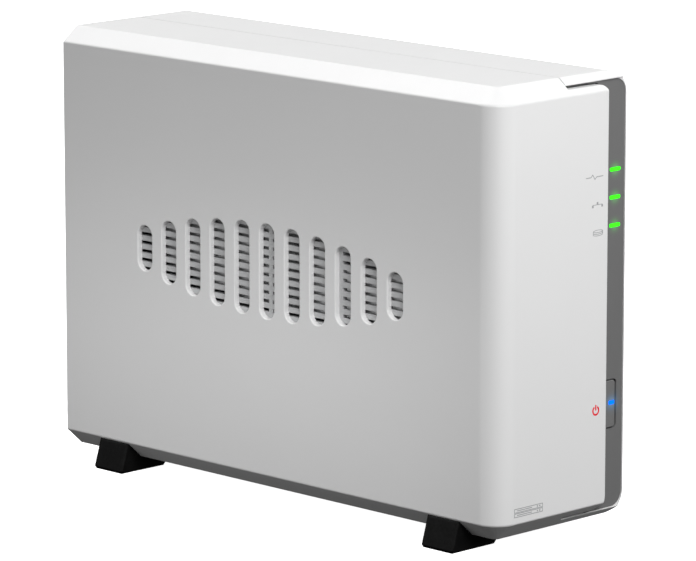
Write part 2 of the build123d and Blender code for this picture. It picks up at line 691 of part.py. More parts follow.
def make_usb_shells():
    """Two steel port shells, open to the rear."""
    shells = []
    for low in USB_Z:
        shell = block(21.0, BOARD_X[0], 95.0, PORT_END, low, low + USB_TALL)
        shells.append(shell - block(21.5, 26.9, 98.0, PORT_END + 1, low + 0.5, low + USB_TALL - 0.5))
    return group(shells)


def make_usb_tongues():
    """The contact tongues inside the two ports."""
    return group(
        block(22.0, 23.9, 98.0, PORT_END - 0.6, low + 1.2, low + USB_TALL - 1.2) for low in USB_Z
    )


def make_power_inlet():
    """Round direct-current inlet with its centre pin."""
    middle = (INLET_Z[0] + INLET_Z[1]) / 2
    inlet = block(16.5, BOARD_X[0], 96.0, PORT_END, *INLET_Z)
    inlet -= rod_y(101.0, PORT_END + 1, 21.6, middle, 3.2)
    return inlet + rod_y(100.5, PORT_END - 0.8, 21.6, middle, 1.0)


# ============================================================ front electronics
def make_front_board():
    board = block(9.0, 31.3, *FRONT_BOARD_Y, 20.0, 140.0)
    for z in (34.0, 136.0):
        board -= rod_y(FRONT_BOARD_Y[0] - 1, FRONT_BOARD_Y[1] + 1, 15.0, z, 1.5)
    return board


def make_front_board_screws():
    screws = []
    for z in (34.0, 136.0):
        head = rod_y(FRONT_BOARD_Y[1], FRONT_BOARD_Y[1] + 1.6, 15.0, z, 2.4)
        screws.append(head + rod_y(FRONT_BOARD_Y[0] - 4, FRONT_BOARD_Y[1], 15.0, z, 0.85))
    return group(screws)


def make_front_leds():
    """Four surface-mounted lights on the front board."""
    heights = list(LIGHT_HEIGHTS.values()) + [BUTTON_LIGHT_Z]
    x0, x1 = LED_X - 1.6, LED_X + 1.6
    back = FRONT_BOARD_Y[0]
    return group(block(x0, x1, back - 0.8, back, z - 0.7, z + 0.7) for z in heights)


def make_power_switch():
    """Push switch behind the power button."""
    tip = FACE_BACK + BUTTON_GAP + 1.5 + BUTTON_TRAVEL + 0.35
    body = block(SWITCH_X - 3, SWITCH_X + 3, tip + 1.0, FRONT_BOARD_Y[0], SWITCH_Z - 3, SWITCH_Z + 3)
    return body + rod_y(tip, tip + 1.2, SWITCH_X, SWITCH_Z, 1.7)


def make_ribbon_sockets():
    low, high = RIBBON_Z[0] - 1, RIBBON_Z[1] + 1
    on_front_board = block(18.5, 23.5, FRONT_BOARD_Y[1], FRONT_BOARD_Y[1] + 4, low, high)
    on_main_board = block(23.5, BOARD_X[0], -76.0, -70.0, low, high)
    return group([on_front_board, on_main_board])


def make_front_ribbon():
    """Flat cable between the front board and the main board."""
    route = FilletPolyline(
        (21.0, FRONT_BOARD_Y[1] + 4, 29.0),
        (21.0, -87.0, 29.0),
        (25.4, -82.0, 29.0),
        (25.4, -76.0, 29.0),
        radius=4.0,
    )
    section = Plane(route @ 0, x_dir=(1, 0, 0), z_dir=route % 0) * Rectangle(0.6, RIBBON_Z[1] - RIBBON_Z[0])
    return sweep(section, path=route)


# ============================================================ riser and tray
def make_riser_socket():
    """Edge socket on the main board that holds the riser."""
    socket = block(21.5, BOARD_X[0], RISER_Y[0] - 2.0, RISER_Y[1] + 2.5, RISER_Z[0] - 1, RISER_Z[1] + 1)
    return socket - block(21.0, 25.4, RISER_Y[0] - 0.1, RISER_Y[1] + 0.1, RISER_Z[0] - 0.2, RISER_Z[1] + 0.2)


def make_riser_board():
    return block(-12.0, 25.3, *RISER_Y, *RISER_Z)


def make_drive_socket():
    """Disk socket on the riser."""
    socket = block(-7.5, -0.6, RISER_Y[1], DISK_Y[0] - 0.3, 38.4, 79.6)
    return socket - block(-4.8, -3.2, RISER_Y[1] + 2.6, DISK_Y[0], 41.7, 76.3)


def make_drive_tray():
    """Flat steel plate with two turned edges and six air slots."""
    tray = block(*TRAY_X, *TRAY_Y, *TRAY_Z)
    tray += block(TRAY_X[0], 7.0, TRAY_Y[0], TRAY_Y[0] + 1.0, 24.0, 128.0)
    tray += block(TRAY_X[0], 7.0, TRAY_Y[1] - 1.0, TRAY_Y[1], 24.0, 128.0)
    for y, z in TRAY_POSTS:
        tray -= rod_x(TRAY_X[0] - 1, TRAY_X[1] + 1, y, z, 1.7)
    for y, z in DISK_SCREWS:
        tray -= rod_x(TRAY_X[0] - 1, TRAY_X[1] + 1, y, z, 1.9)
    for index in range(6):
        slot = Pos(-50.0 + 23.0 * index, 80.0) * Rot(0, 0, 90) * SlotOverall(66.0, 11.0)
        tray -= seen_from_side(slot, TRAY_X[0] - 1, TRAY_X[1] + 1)
    return tray


def make_tray_screws():
    screws = []
    for y, z in TRAY_POSTS:
        head = rod_x(TRAY_X[0] - 2.0, TRAY_X[0], y, z, 2.9)
        recess = Pos(TRAY_X[0] - 2.0, y, z) * (Box(1.6, 3.2, 0.8) + Box(1.6, 0.8, 3.2))
        screws.append(head + rod_x(TRAY_X[0], TRAY_X[1] + 8, y, z, 1.25) - recess)
    return group(screws)


def make_drive_screws():
    screws = []
    for y, z in DISK_SCREWS:
        head = rod_x(TRAY_X[1], TRAY_X[1] + 1.9, y, z, 3.1)
        screws.append(head + rod_x(-3.6, TRAY_X[1], y, z, 1.6))
    return group(screws)


# ============================================================ the hard disk
LID_SCREWS = [(-61.0, 35.0), (-61.0, 126.6), (76.0, 35.0), (76.0, 126.6), (-14.0, 32.0), (-14.0, 129.6)]


def make_drive_casting():
    """Aluminium tub with its clean chamber open to the left."""
    y, z = SPINDLE
    tub = seen_from_side(rounded(*DISK_Y, *DISK_Z, 2.0), *DISK_X)
    tub -= rod_x(DISK_X[0] - 1, BAY_DEPTH_X, y, z, PLATTER_RADIUS + 1.0)
    tub -= block(DISK_X[0] - 1, BAY_DEPTH_X, -54.0, 12.0, 34.0, 127.6)
    tub -= block(-2.6, 1.0, -57.0, 62.0, 38.0, 123.6)
    tub -= block(-8.0, 1.0, DISK_Y[0] - 1, -57.0, 38.0, 80.0)
    for y, z in DISK_SCREWS:
        tub -= rod_x(-4.0, 1.0, y, z, 1.7)
    for y, z in LID_SCREWS:
        tub -= rod_x(DISK_X[0] - 1, DISK_X[0] + 5.2, y, z, 1.0)
    return tub


def make_drive_lid():
    """Stamped lid with a ring pressed over the platters and another over the arm's pivot."""
    outline = rounded(DISK_Y[0] + 0.5, DISK_Y[1] - 0.5, DISK_Z[0] + 0.5, DISK_Z[1] - 0.5, 2.0)
    lid = seen_from_side(outline, LID_X, DISK_X[0])
    for centre, outer, inner in ((SPINDLE, 43.0, 15.5), (PIVOT, 11.0, 4.5)):
        ring = rod_x(LID_X - 1, LID_X + 0.25, *centre, outer)
        lid -= ring - rod_x(LID_X - 1, LID_X + 1, *centre, inner)
    for y, z in LID_SCREWS:
        lid -= rod_x(LID_X - 1, DISK_X[0] + 1, y, z, 1.1)
    return lid


def make_drive_lid_screws():
    return group(
        rod_x(LID_X - 0.8, LID_X, y, z, 1.45) + rod_x(LID_X, DISK_X[0] + 4.6, y, z, 0.9)
        for y, z in LID_SCREWS
    )


def make_drive_platters():
    discs = []
    for x in PLATTER_X:
        disc = rod_x(x, x + PLATTER_THICK, *SPINDLE, PLATTER_RADIUS)
        discs.append(disc - rod_x(x - 1, x + PLATTER_THICK + 1, *SPINDLE, HUB_RADIUS + 0.1))
    return group(discs)


def make_drive_hub():
    """Turning hub with its clamp, spacer and lower flange."""
    first, second = PLATTER_X
    hub = rod_x(first - 1.3, second + PLATTER_THICK + 2.0, *SPINDLE, HUB_RADIUS)
    hub += rod_x(first - 1.3, first, *SPINDLE, CLAMP_RADIUS)
    hub += rod_x(first + PLATTER_THICK, second, *SPINDLE, CLAMP_RADIUS)
    hub += rod_x(second + PLATTER_THICK, second + PLATTER_THICK + 2.0, *SPINDLE, CLAMP_RADIUS)
    return hub


def make_spindle_motor():
    """Fixed motor base under the hub."""
    start = PLATTER_X[1] + PLATTER_THICK + 2.35
    return rod_x(start, BAY_DEPTH_X, *SPINDLE, 11.0)


def around_pivot(angle, radius):
    """The y and z of a point at an angle above +Y and a radius from the arm's pivot."""
    return (
        PIVOT[0] + radius * cos(radians(angle)),
        PIVOT[1] + radius * sin(radians(angle)),
    )


def make_actuator_pivot():
    return rod_x(DISK_X[0] + 0.4, BAY_DEPTH_X, *PIVOT, PIVOT_RADIUS)


def make_drive_actuator():
    """Three tapered arms, the pivot sleeve and the voice coil behind it."""
    sleeve_x = (ARM_LAYERS[0][0], ARM_LAYERS[-1][1])
    arm = rod_x(*sleeve_x, *PIVOT, 7.5)
    for x0, x1 in ARM_LAYERS:
        outline = Polyline(
            around_pivot(ARM_REST + 75, 6.5),
            around_pivot(ARM_REST + 2.2, ARM_LENGTH),
            around_pivot(ARM_REST - 2.2, ARM_LENGTH),
            around_pivot(ARM_REST - 75, 6.5),
            close=True,
        )
        arm += seen_from_side(make_face(outline), x0, x1)
    back = ARM_REST + 180
    near, far = 5.0, 29.0
    coil = Polyline(
        around_pivot(back - COIL_HALF_ANGLE - 10, near),
        around_pivot(back - COIL_HALF_ANGLE, far),
        around_pivot(back + COIL_HALF_ANGLE, far),
        around_pivot(back + COIL_HALF_ANGLE + 10, near),
        close=True,
    )
    eye = Polyline(
        around_pivot(back - 7, 14.0),
        around_pivot(back - 6, 25.0),
        around_pivot(back + 6, 25.0),
        around_pivot(back + 7, 14.0),
        close=True,
    )
    arm += seen_from_side(make_face(coil) - make_face(eye), *COIL_X)
    return arm - rod_x(sleeve_x[0] - 1, sleeve_x[1] + 1, *PIVOT, PIVOT_RADIUS + 0.3)


def make_drive_magnets():
    """Two curved magnet plates above and below the coil, joined by two studs."""
    low, high = MAGNET_ANGLES
    middle = (low + high) / 2
    outline = make_face(
        [
            Line(around_pivot(low, 13.0), around_pivot(low, 31.0)),
            ThreePointArc(around_pivot(low, 31.0), around_pivot(middle, 31.0), around_pivot(high, 31.0)),
            Line(around_pivot(high, 31.0), around_pivot(high, 13.0)),
            ThreePointArc(around_pivot(high, 13.0), around_pivot(middle, 13.0), around_pivot(low, 13.0)),
        ]
    )
    plates = None
    for x0, x1 in MAGNET_LAYERS:
        plate = seen_from_side(outline, x0, x1)
        plates = plate if plates is None else plates + plate
    for angle in (low + 4, high - 4):
        plates += rod_x(MAGNET_LAYERS[0][0], BAY_DEPTH_X, *around_pivot(angle, 27.0), 1.6)
    return plates


def make_drive_board():
    """Controller board in the pocket of the casting's right face."""
    board = block(-1.6, -0.6, -56.4, 61.4, 38.6, 123.0)
    return board - rod_x(-3.0, 1.0, *SPINDLE, 14.0)


def make_drive_connector():
    """Data and power connector with its contact tongue."""
    body = block(-7.0, -1.0, DISK_Y[0], -57.4, 39.0, 79.0)
    return body + block(-4.6, -3.4, DISK_Y[0] - 5.0, DISK_Y[0] + 0.5, 42.0, 76.0)


# ============================================================ every node
NODES = {
    "left_cover": make_left_cover(),
    "left_vent_louvre": vent_louvre(-1),
    "right_shell": make_right_shell(),
    "right_vent_louvre": vent_louvre(1),
    "front_bezel": make_front_bezel(),
    "power_button": make_power_button(),
    "power_light_lens": make_power_light_lens(),
    "power_switch": make_power_switch(),
    "front_board": make_front_board(),
    "front_board_screws": make_front_board_screws(),
    "front_leds": make_front_leds(),
    "ribbon_sockets": make_ribbon_sockets(),
    "front_ribbon": make_front_ribbon(),
    "rear_panel": make_rear_panel(),
    "cover_screws": make_cover_screws(),
    "lock_plate": make_lock_plate(),
    "reset_button": make_reset_button(),
    "reset_switch": make_reset_switch(),
    "fan_frame": make_fan_frame(),
    "fan_stator": make_fan_stator(),
    "fan_rotor": make_fan_rotor(),
    "fan_screws": make_fan_screws(),
    "fan_header": make_fan_header(),
    "fan_lead": make_fan_lead(),
    "main_board": make_main_board(),
    "board_screws": make_board_screws(),
    "processor": make_processor(),
    "processor_heatsink": make_processor_heatsink(),
    "memory_chips": make_memory_chips(),
    "board_capacitors": make_board_capacitors(),
    "clock_battery": make_clock_battery(),
    "lan_jack": make_lan_jack(),
    "lan_contacts": make_lan_contacts(),
    "usb_port_shells": make_usb_shells(),
    "usb_port_tongues": make_usb_tongues(),
    "power_inlet": make_power_inlet(),
    "riser_socket": make_riser_socket(),
    "riser_board": make_riser_board(),
    "drive_socket": make_drive_socket(),
    "drive_tray": make_drive_tray(),
    "tray_screws": make_tray_screws(),
    "drive_screws": make_drive_screws(),
    "drive_casting": make_drive_casting(),
    "drive_lid": make_drive_lid(),
    "drive_lid_screws": make_drive_lid_screws(),
    "drive_platters": make_drive_platters(),
    "drive_hub": make_drive_hub(),
    "spindle_motor": make_spindle_motor(),
    "actuator_pivot": make_actuator_pivot(),
    "drive_actuator": make_drive_actuator(),
    "drive_magnets": make_drive_magnets(),
    "drive_board": make_drive_board(),
    "drive_connector": make_drive_connector(),
}
for light, z in LIGHT_HEIGHTS.items():
    NODES[light + "_light_pipe"] = make_light_pipe(z)
for side, side_word in ((-1, "left"), (1, "right")):
    for end, end_word in ((-1, "front"), (1, "rear")):
        NODES["foot_" + end_word + "_" + side_word] = make_foot(side, end)

os.makedirs("parts", exist_ok=True)
for name, solid in NODES.items():
    export_step(solid, "parts/" + name + ".step")
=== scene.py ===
import math

import bmesh
import bpy
from mathutils import Matrix, Vector


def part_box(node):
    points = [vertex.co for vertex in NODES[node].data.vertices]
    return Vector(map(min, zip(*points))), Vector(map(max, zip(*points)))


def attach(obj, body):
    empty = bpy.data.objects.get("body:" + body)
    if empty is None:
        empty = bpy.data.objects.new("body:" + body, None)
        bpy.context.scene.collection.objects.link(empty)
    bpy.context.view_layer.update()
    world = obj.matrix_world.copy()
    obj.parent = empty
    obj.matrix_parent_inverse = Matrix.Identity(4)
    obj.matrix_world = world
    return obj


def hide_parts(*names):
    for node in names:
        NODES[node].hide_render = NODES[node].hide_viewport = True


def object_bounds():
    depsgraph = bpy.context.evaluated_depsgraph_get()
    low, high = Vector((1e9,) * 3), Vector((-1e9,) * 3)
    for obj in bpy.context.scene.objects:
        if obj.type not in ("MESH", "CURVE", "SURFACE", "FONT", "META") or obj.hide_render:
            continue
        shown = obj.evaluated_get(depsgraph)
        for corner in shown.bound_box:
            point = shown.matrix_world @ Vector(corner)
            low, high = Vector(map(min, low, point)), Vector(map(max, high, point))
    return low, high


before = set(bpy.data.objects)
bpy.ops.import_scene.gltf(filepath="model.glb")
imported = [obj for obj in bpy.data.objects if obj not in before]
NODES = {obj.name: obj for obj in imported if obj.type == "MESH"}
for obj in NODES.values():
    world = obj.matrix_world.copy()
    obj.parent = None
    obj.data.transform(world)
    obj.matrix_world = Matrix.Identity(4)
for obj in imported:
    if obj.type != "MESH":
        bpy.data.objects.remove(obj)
CAD_LOW, CAD_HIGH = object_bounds()
MM = 0.001

# The camera: a long lens, three quarters from the front left, a little above. Angles in degrees,
# lengths in metres. It aims a little off the middle of the CAD box.
AZIMUTH = -44.97
ELEVATION = 11.04
DISTANCE = 1.7795
AIM_SHIFT = Vector((0.00125, -0.00211, -0.00312))
LENS_MM = 251.1
SENSOR_MM = 36.0

# The sky's strength above and below the horizon, and the slopes between which it changes.
SKY_STRENGTH = 0.32
SKY_UNDER = 0.03
SKY_FROM = -0.06
SKY_TO = 0.10

# The floor, in metres, and its own glow.
FLOOR_SIZE = 14.0
FLOOR_DROP = 0.02 * MM
FLOOR_GLOW = 1.0

# The front lights, and how far the glow painted round them on the plastic reaches, in millimetres.
LIGHTS = ("status", "lan", "disk")
LIT_GREEN = (0.045, 1.0, 0.012)
LIT_BLUE = (0.0, 0.14, 1.0)
BLUE_PAINTED_HALO = (0.0, 0.34, 0.80)
GREEN_REACH = 1.9
BLUE_REACH = 2.6
BUTTON_REACH = 2.1

# Printed marks, in millimetres: the thickness of the ink, line widths, and places on the front panel.
INK_FILM = 0.02
FINE_LINE = 0.22
BAY_LINE = 0.26
BOLD_LINE = 0.30
POWER_LINE = 0.68
MARKS_RIGHT = 18.2          # right end of the three marks beside the lights
MARKS_DROP = 0.35           # they sit this far below the middle of their light
POWER_X = 15.5
POWER_LIFT = 0.2
STORAGE_IN = (9.2, 8.8)     # from the cover's left and lower sides

# The label on the disk's lid, in millimetres from the lid's sides.
LABEL_THICK = 0.12
LABEL_Y = (6.0, 48.0)
LABEL_BOTTOM = 62.0
LABEL_TOP = 8.0

# Small chips on the main board, in millimetres: the rows' heights with how many places each has.
CHIP_ROWS = {72.0: 17, 76.5: 22, 81.0: 15, 87.5: 24}
CHIP_START = -66.0
CHIP_LAST = 68.0            # no chip starts beyond this
CHIP_PITCH = 5.6
CHIP_DRIFT = 1.3            # how far chips stray from their even places
CHIP_SHORT = 1.6
CHIP_LONG = 2.4
CHIP_WIDE = 0.55            # width, thickness and tinned end, as parts of the length
CHIP_THICK = 0.38
CHIP_END = 0.2
TIN_OVER = 1.06             # the tinned ends are a little thicker than the chip

# The fan's three wires, in millimetres.
WIRE_RADIUS = 0.52
WIRE_SPREAD = 0.58          # from the middle of the bundle
WIRE_TWIST = 14.0           # length of one full turn


# ------------------------------------------------------------------ node helpers
class Shader:
    """A material's node tree with short names for the nodes used here."""

    def __init__(self, name):
        self.material = bpy.data.materials.new(name)
        self.material.use_nodes = True
        self.nodes = self.material.node_tree.nodes
        self.links = self.material.node_tree.links
        self.main = self.nodes["Principled BSDF"]
        self.place = self.nodes.new("ShaderNodeTexCoord").outputs["Object"]

    def link(self, source, target):
        self.links.new(source, target)

    def add(self, kind, **settings):
        node = self.nodes.new(kind)
        for key, value in settings.items():
            setattr(node, key, value)
        return node

    def stretched(self, x, y, z):
        """Object coordinates scaled apart along the three axes."""
        node = self.add("ShaderNodeMapping")
        node.inputs["Scale"].default_value = (x, y, z)
        self.link(self.place, node.inputs["Vector"])
        return node.outputs["Vector"]

    def noise(self, scale, detail=3.0, roughness=0.5, vector=None):
        node = self.add("ShaderNodeTexNoise")
        node.inputs["Scale"].default_value = scale
        node.inputs["Detail"].default_value = detail
        node.inputs["Roughness"].default_value = roughness
        self.link(vector or self.place, node.inputs["Vector"])
        return node.outputs["Fac"]

    def cells(self, scale, output="Distance"):
        node = self.add("ShaderNodeTexVoronoi")
        node.inputs["Scale"].default_value = scale
        self.link(self.place, node.inputs["Vector"])
        return node.outputs[output]

    def math(self, operation, first, second=None, clamp=False):
        node = self.add("ShaderNodeMath", operation=operation, use_clamp=clamp)
        for socket, value in zip(node.inputs, (first, second)):
            if value is None:
                continue
            if isinstance(value, (int, float)):
                socket.default_value = value
            else:
                self.link(value, socket)
        return node.outputs["Value"]

    def span(self, value, low, high, to_low, to_high):
        """Map a value between two limits onto two others, clamped."""
        node = self.add("ShaderNodeMapRange")
        names = ("From Min", "From Max", "To Min", "To Max")
        for key, number in zip(names, (low, high, to_low, to_high)):
            node.inputs[key].default_value = number
        self.link(value, node.inputs["Value"])
        return node.outputs["Result"]

    def blend(self, factor, first, second):
        """Mix two colours, given as triples or sockets, by a socket."""
        node = self.add("ShaderNodeMix", data_type="RGBA")
        self.link(factor, node.inputs["Factor"])
        for key, colour in (("A", first), ("B", second)):
            socket = [s for s in node.inputs if s.name == key and s.type == "RGBA"][0]
            if isinstance(colour, tuple):
                socket.default_value = (*colour, 1.0)
            else:
                self.link(colour, socket)
        return [s for s in node.outputs if s.type == "RGBA"][0]

    def bump(self, height, strength, distance, before=None):
        node = self.add("ShaderNodeBump")
        node.inputs["Strength"].default_value = strength
        node.inputs["Distance"].default_value = distance
        self.link(height, node.inputs["Height"])
        if before is not None:
            self.link(before, node.inputs["Normal"])
        return node.outputs["Normal"]

    def soft_edges(self, radius):
        node = self.add("ShaderNodeBevel", samples=4)
        node.inputs["Radius"].default_value = radius
        return node.outputs["Normal"]

    def axis(self, name):
        node = self.add("ShaderNodeSeparateXYZ")
        self.link(self.place, node.inputs["Vector"])
        return node.outputs[name]

    def near(self, point):
        """Distance from a fixed point of the object."""
        node = self.add("ShaderNodeVectorMath", operation="DISTANCE")
        self.link(self.place, node.inputs[0])
        node.inputs[1].default_value = point
        return node.outputs["Value"]

    def painted_halo(self, centre, reach, colour):
        """A painted glow that fades round a point; the reach is in millimetres."""
        away = self.math("DIVIDE", self.near(centre), reach * MM)
        fall = self.math("MULTIPLY", self.math("MULTIPLY", away, away), -1.0)
        return self.blend(self.math("EXPONENT", fall, clamp=True), (0.0, 0.0, 0.0), colour)

    def set(self, **values):
        """Set constants on the shader's own sockets."""
        for key, value in values.items():
            socket = self.main.inputs[key.replace("_", " ")]
            socket.default_value = (*value, 1.0) if isinstance(value, tuple) else value
        return self


# ---------------------------------------------------------------------- materials
def moulded(name, colour, roughness=0.42, grain=2600.0, depth=0.012, edge=0.00022, tone=0.04):
    """Injection-moulded plastic: fine spark-eroded grain, faint flow marks, soft edges.

    The grain's depth is in millimetres and the edge's radius in metres. Tone is how much darker
    the flow marks are.
    """
    s = Shader(name)
    flow = s.noise(22.0, 2.0, 0.5, s.stretched(1.0, 0.6, 1.0))
    darker = tuple(c * (1 - tone) for c in colour)
    s.link(s.blend(s.span(flow, 0.35, 0.65, 0.0, 1.0), darker, colour), s.main.inputs["Base Color"])
    fine = s.noise(grain, 2.0, 0.6)
    patchy = s.noise(140.0, 3.0)
    rough = s.math("ADD", s.span(fine, 0.3, 0.7, -0.03, 0.03), s.span(patchy, 0.3, 0.7, -0.02, 0.02))
    s.link(s.math("ADD", rough, roughness), s.main.inputs["Roughness"])
    pits = s.cells(grain * 0.8)
    height = s.math("ADD", fine, s.math("MULTIPLY", pits, 0.5))
    s.link(s.bump(height, 0.35, depth * MM, s.soft_edges(edge)), s.main.inputs["Normal"])
    return s


def case_white():
    s = moulded("case_white_plastic", (0.80, 0.80, 0.80), 0.40, 2300.0, 0.014, 0.00025, 0.012)
    return s.set(IOR=1.5, Specular_IOR_Level=0.42).material


def louvre_white_in_painted_shade():
    # The louvres are the white case plastic, given a darker grey: painted shade of the slats set back behind
    # the vent windows.
    s = moulded("louvre_plastic_painted_shade", (0.56, 0.565, 0.57), 0.5, 2300.0, 0.012, 0.0002, 0.03)
    return s.material


def strip_grey(lights):
    """The dark front strip, with the lights' glow painted on round each light."""
    s = moulded("strip_plastic", (0.160, 0.160, 0.160), 0.5, 2600.0, 0.012, 0.0003, 0.03)
    painted_glow = None
    for centre, colour, reach in lights:
        painted_spot = s.painted_halo(centre, reach, colour)
        if painted_glow is None:
            painted_glow = painted_spot
        else:
            joined = s.add("ShaderNodeVectorMath", operation="ADD")
            s.link(painted_glow, joined.inputs[0])
            s.link(painted_spot, joined.inputs[1])
            painted_glow = joined.outputs["Vector"]
    # Painted glow: the lights' spill on the strip is painted as emission round each light.
    s.link(painted_glow, s.main.inputs["Emission Color"])
    return s.set(Emission_Strength=0.26, Specular_IOR_Level=0.2).material


def button_grey(centre):
    """The power button, with the blue lens's glow painted round the given point."""
    s = moulded("button_plastic", (0.172, 0.172, 0.172), 0.48, 2600.0, 0.012, 0.0004, 0.03)
    # Painted glow: the blue lens's light on the button is painted as emission.
    s.link(s.painted_halo(centre, BUTTON_REACH, BLUE_PAINTED_HALO), s.main.inputs["Emission Color"])
    return s.set(Emission_Strength=0.34, Specular_IOR_Level=0.25).material


def lit_window(name, colour, centre, strength):
    """A clear light pipe, brightest in the middle of its face."""
    s = Shader(name)
    away = s.span(s.near(centre), 0.0, 3.0 * MM, 1.0, 0.55)
    ripple = s.span(s.noise(1800.0, 2.0), 0.3, 0.7, 0.94, 1.0)
    level = s.math("MULTIPLY", away, ripple)
    dim = tuple(c * 0.35 for c in colour)
    s.link(s.blend(level, dim, colour), s.main.inputs["Emission Color"])
    s.link(s.blend(ripple, dim, colour), s.main.inputs["Base Color"])
    return s.set(Roughness=0.18, IOR=1.49, Emission_Strength=strength).material


def rubber_black():
    """Firm black rubber with a dry, dusty bloom."""
    s = Shader("foot_rubber")
    dust = s.span(s.noise(260.0, 4.0, 0.6), 0.45, 0.75, 0.0, 1.0)
    s.link(s.blend(dust, (0.003, 0.003, 0.003), (0.006, 0.006, 0.006)), s.main.inputs["Base Color"])
    s.link(s.span(s.noise(900.0, 3.0), 0.3, 0.7, 0.55, 0.75), s.main.inputs["Roughness"])
    height = s.cells(2400.0)
    s.link(s.bump(height, 0.4, 0.02 * MM, s.soft_edges(0.0004)), s.main.inputs["Normal"])
    return s.set(Specular_IOR_Level=0.12).material


def sheet_metal(name, colour, roughness=0.32, along=(1.0, 14.0, 1.0), spangle=False):
    """Rolled or plated sheet, with zinc spangle or a grain drawn out along the axes."""
    s = Shader(name)
    grain = s.noise(1900.0, 4.0, 0.6, s.stretched(*[1.0 / a for a in along]))
    if spangle:
        tone = s.cells(220.0, output="Color")
        separate = s.add("ShaderNodeSeparateColor")
        s.link(tone, separate.inputs["Color"])
        level = separate.outputs["Red"]
    else:
        level = s.span(grain, 0.3, 0.7, 0.0, 1.0)
    darker = tuple(c * 0.90 for c in colour)
    s.link(s.blend(level, darker, colour), s.main.inputs["Base Color"])
    s.link(s.span(grain, 0.3, 0.7, roughness - 0.04, roughness + 0.05), s.main.inputs["Roughness"])
    s.link(s.bump(grain, 0.10, 0.006 * MM, s.soft_edges(0.00015)), s.main.inputs["Normal"])
    return s.set(Metallic=1.0).material


def cast_metal():
    """Die-cast aluminium with a fine pitted skin."""
    s = Shader("cast_aluminium_skin")
    mottle = s.noise(190.0, 5.0, 0.6)
    tone = s.blend(s.span(mottle, 0.35, 0.65, 0.0, 1.0), (0.33, 0.335, 0.34), (0.45, 0.455, 0.46))
    s.link(tone, s.main.inputs["Base Color"])
    pits = s.cells(900.0)
    s.link(s.span(mottle, 0.3, 0.7, 0.40, 0.58), s.main.inputs["Roughness"])
    s.link(s.bump(pits, 0.5, 0.03 * MM, s.soft_edges(0.0004)), s.main.inputs["Normal"])
    return s.set(Metallic=1.0).material


def turned_metal(name, colour, roughness, centre):
    """Metal turned on a lathe: rings round an axis along X."""
    s = Shader(name)
    node = s.add("ShaderNodeVectorMath", operation="SUBTRACT")
    s.link(s.place, node.inputs[0])
    node.inputs[1].default_value = centre
    split = s.add("ShaderNodeSeparateXYZ")
    s.link(node.outputs["Vector"], split.inputs["Vector"])
    y2 = s.math("MULTIPLY", split.outputs["Y"], split.outputs["Y"])
    z2 = s.math("MULTIPLY", split.outputs["Z"], split.outputs["Z"])
    radius = s.math("SQRT", s.math("ADD", y2, z2))
    rings = s.math("SINE", s.math("MULTIPLY", radius, 2 * math.pi / (0.22 * MM)))
    streak = s.noise(420.0, 3.0)
    darker = tuple(c * 0.93 for c in colour)
    s.link(s.blend(s.span(streak, 0.3, 0.7, 0.0, 1.0), darker, colour), s.main.inputs["Base Color"])
    s.link(s.span(streak, 0.3, 0.7, roughness * 0.8, roughness * 1.25), s.main.inputs["Roughness"])
    s.link(s.bump(rings, 0.12, 0.004 * MM, s.soft_edges(0.0002)), s.main.inputs["Normal"])
    return s.set(Metallic=1.0).material


def circuit_board(name, mask, copper, plane):
    """Solder mask over copper: straight tracks both ways, ground areas and small vias."""
    s = Shader(name)
    first, second = plane
    across = s.axis(first)
    up = s.axis(second)
    pitch = 0.9 * MM
    lanes = s.math("FRACT", s.math("DIVIDE", across, pitch))
    rungs = s.math("FRACT", s.math("DIVIDE", up, pitch))
    lane_on = s.math("LESS_THAN", lanes, 0.36)
    rung_on = s.math("LESS_THAN", rungs, 0.36)
    area = s.add("ShaderNodeTexVoronoi", distance="MANHATTAN")
    area.inputs["Scale"].default_value = 95.0
    s.link(s.place, area.inputs["Vector"])
    pick = s.add("ShaderNodeSeparateColor")
    s.link(area.outputs["Color"], pick.inputs["Color"])
    zone = pick.outputs["Red"]
    use_lanes = s.math("LESS_THAN", zone, 0.33)
    use_rungs = s.math("MULTIPLY", s.math("GREATER_THAN", zone, 0.33), s.math("LESS_THAN", zone, 0.62))
    solid = s.math("GREATER_THAN", zone, 0.86)
    tracks = s.math("ADD", s.math("MULTIPLY", lane_on, use_lanes), s.math("MULTIPLY", rung_on, use_rungs))
    tracks = s.math("ADD", tracks, solid, clamp=True)
    vias = s.math("LESS_THAN", s.cells(210.0), 0.11)
    tinted = s.blend(tracks, mask, copper)
    s.link(s.blend(vias, tinted, (0.42, 0.40, 0.33)), s.main.inputs["Base Color"])
    s.link(s.span(s.noise(500.0, 2.0), 0.3, 0.7, 0.24, 0.34), s.main.inputs["Roughness"])
    raised = s.math("ADD", tracks, vias)
    s.link(s.bump(raised, 0.6, 0.03 * MM, s.soft_edges(0.0001)), s.main.inputs["Normal"])
    return s.set(Coat_Weight=0.3, Coat_Roughness=0.15).material


def winding_copper():
    """Enamelled wire wound round the poles, with painted shade between the turns and a painted highlight on
    them.
    """
    s = Shader("winding_copper_wire")
    turns = s.math("SINE", s.math("MULTIPLY", s.axis("Y"), 2 * math.pi / (0.35 * MM)))
    level = s.span(turns, -1.0, 1.0, 0.0, 1.0)
    # Painted shade and highlight: darker between the turns, lighter on their crowns.
    s.link(s.blend(level, (0.30, 0.10, 0.03), (0.80, 0.36, 0.15)), s.main.inputs["Base Color"])
    s.link(s.bump(turns, 0.8, 0.08 * MM), s.main.inputs["Normal"])
    return s.set(Metallic=0.8, Roughness=0.3).material


